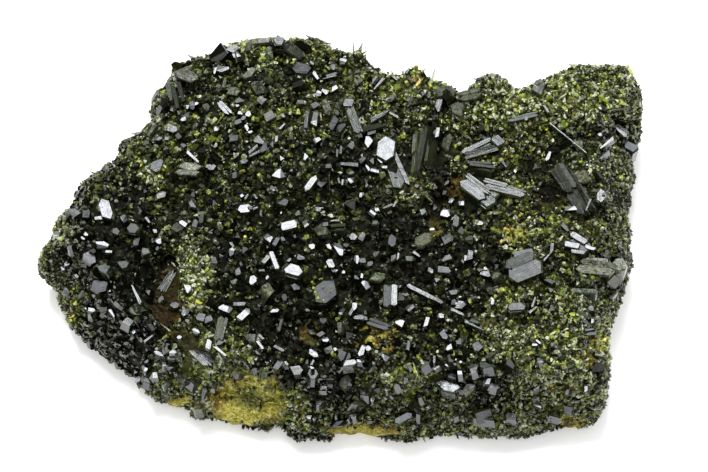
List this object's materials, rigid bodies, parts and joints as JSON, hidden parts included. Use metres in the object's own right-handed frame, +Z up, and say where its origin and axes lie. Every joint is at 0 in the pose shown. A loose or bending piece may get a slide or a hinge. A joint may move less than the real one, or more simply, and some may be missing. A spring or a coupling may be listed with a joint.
{
  "type": "epidote crystal cluster",
  "caption": "Slab of ochre host rock carrying a crust of dark green prismatic crystals, for display as a mineral specimen.",
  "frame": {"origin": "middle of the footprint, on the surface that the slab lies on", "axes": "+Z up, away from the crystals' rock; +X along the slab, towards its square end; +Y across it"},
  "size_m": [0.1018, 0.0672, 0.0225],
  "materials": {
    "host_rock": "matte",
    "crystal_crust": "satin",
    "crystal_dark": "gloss",
    "crystal_olive": "gloss"
  },
  "bodies": {
    "root": {"host_rock": "host_rock", "crystal_crust": "crystal_crust", "bright_prism_left": "crystal_dark", "grey_prism_left_upper": "crystal_dark", "grey_prism_left_large": "crystal_dark", "grey_prism_left_inner": "crystal_dark", "dull_prism_left_lower": "crystal_dark", "fibrous_blade_left": "crystal_olive", "ridge_block_top": "crystal_dark", "dull_block_top": "crystal_dark", "slanted_prism_top_left": "crystal_dark", "white_blade_top_left": "crystal_dark", "white_prism_upper_mid": "crystal_dark", "frosted_prism_upper_left": "crystal_olive", "slim_prism_top": "crystal_olive", "broad_white_prism": "crystal_dark", "upright_needle_sheaf": "crystal_olive", "dark_block_notch": "crystal_dark", "blade_stack": "crystal_dark", "striated_blade_fan": "crystal_dark", "flat_blade_notch": "crystal_olive", "lath_top_right": "crystal_dark", "long_grey_prism_right": "crystal_olive", "bright_prism_group": "crystal_dark", "broad_plate_crystal": "crystal_dark", "bluish_long_prism": "crystal_olive", "right_edge_prism": "crystal_dark", "right_edge_block": "crystal_dark", "bright_prism_right": "crystal_dark", "white_prism_centre_left": "crystal_dark", "white_prism_centre": "crystal_dark", "white_bar_centre": "crystal_dark", "white_hexagon_centre": "crystal_dark", "large_dull_prism_centre": "crystal_dark", "ridged_block_centre": "crystal_dark", "long_needle_centre": "crystal_dark", "grey_prism_centre_right": "crystal_dark", "lath_centre_low": "crystal_dark", "kite_prism_low": "crystal_dark", "white_flake_low_right": "crystal_dark", "leaning_prism_low_left": "crystal_olive", "olive_prism_low_left": "crystal_olive", "lath_front_right": "crystal_dark", "grey_prism_right_mid": "crystal_dark", "lath_right": "crystal_dark"}
  },
  "joints": []
}
